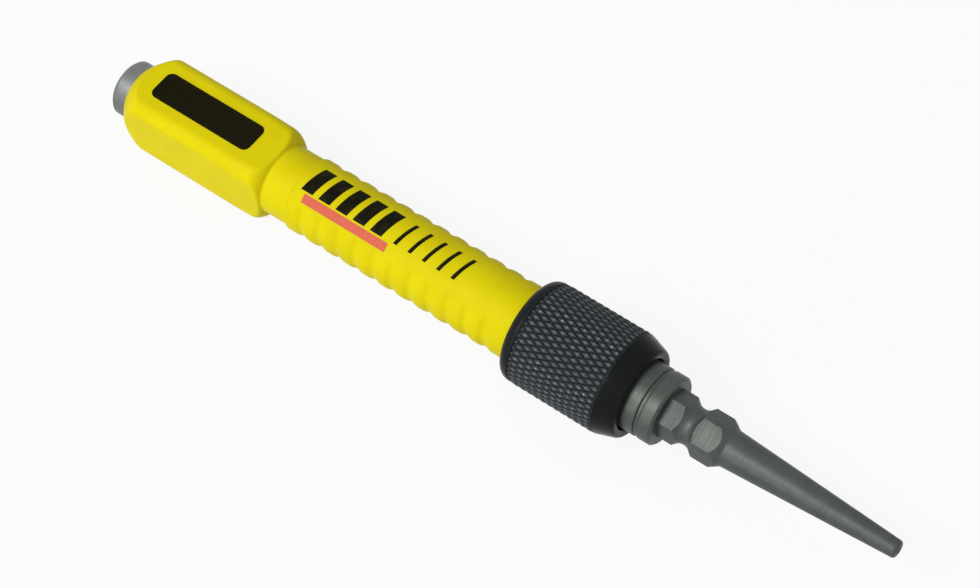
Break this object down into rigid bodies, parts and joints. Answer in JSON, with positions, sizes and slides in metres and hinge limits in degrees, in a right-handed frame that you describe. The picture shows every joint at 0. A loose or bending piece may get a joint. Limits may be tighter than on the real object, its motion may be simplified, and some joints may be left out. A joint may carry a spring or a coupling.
{
  "type": "nail setter",
  "caption": "Nail setter with a square-headed handle, ribbed grip, knurled quick-release collar and a reversible double-ended hexagonal bit.",
  "frame": {"origin": "centre of the striking face, on the tool's axis", "axes": "+X along the tool's axis from the striking face to the point of the bit; +Z out of the flat of the head that carries the label plate; +Y to the left of a person who looks along +X"},
  "size_m": [0.1647, 0.0196, 0.0196],
  "materials": {
    "shank": "satin zinc-plated steel, polished by hammer blows on the striking face",
    "handle_core": "moulded hard plastic, fine satin texture",
    "grip": "softer moulded plastic, slightly duller",
    "stop_washer": "plain bright steel",
    "nail_bit": "hardened tool steel, turned and lightly oiled",
    "collar": "black oxide on diamond-knurled steel",
    "front_ring": "black oxide on turned steel",
    "washer": "plain bright steel",
    "collar_spring": "drawn spring wire",
    "retaining_ring": "phosphated spring steel",
    "locking_ball": "polished ball-bearing steel"
  },
  "bodies": {
    "tool": {"shank": "shank", "handle_core": "handle_core", "grip": "grip", "stop_washer": "stop_washer", "nail_bit": "nail_bit", "collar_spring": "collar_spring", "spring_washer": "washer", "retaining_ring": "retaining_ring"},
    "slider": {"thrust_washer": "washer"},
    "collar": {"collar": "collar", "front_ring": "front_ring"},
    "ball_right": {"locking_ball_right": "locking_ball"},
    "ball_upper_left": {"locking_ball_upper_left": "locking_ball"},
    "ball_lower_left": {"locking_ball_lower_left": "locking_ball"}
  },
  "joints": [
    {"name": "collar_slide", "type": "slide", "parent": "tool", "child": "slider", "axis": [1, 0, 0], "range_m": [0, 0.0024], "stiffness_N_per_m": 350, "springref_m": -0.0123, "deforming": ["collar_spring"]},
    {"name": "collar_spin", "type": "hinge", "parent": "slider", "child": "collar", "pos_m": [0.1, 0, 0], "axis": [1, 0, 0], "continuous": true},
    {"name": "ball_right_lift", "type": "slide", "parent": "tool", "child": "ball_right", "axis": [0, -1, 0], "range_m": [0, 0.0005]},
    {"name": "ball_upper_left_lift", "type": "slide", "parent": "tool", "child": "ball_upper_left", "axis": [0, 0.5, 0.866], "range_m": [0, 0.0005]},
    {"name": "ball_lower_left_lift", "type": "slide", "parent": "tool", "child": "ball_lower_left", "axis": [0, 0.5, -0.866], "range_m": [0, 0.0005]}
  ],
  "couplings": [
    {"joint": "ball_right_lift", "follows": "collar_slide", "ratio": 0.20833},
    {"joint": "ball_upper_left_lift", "follows": "collar_slide", "ratio": 0.20833},
    {"joint": "ball_lower_left_lift", "follows": "collar_slide", "ratio": 0.20833}
  ]
}
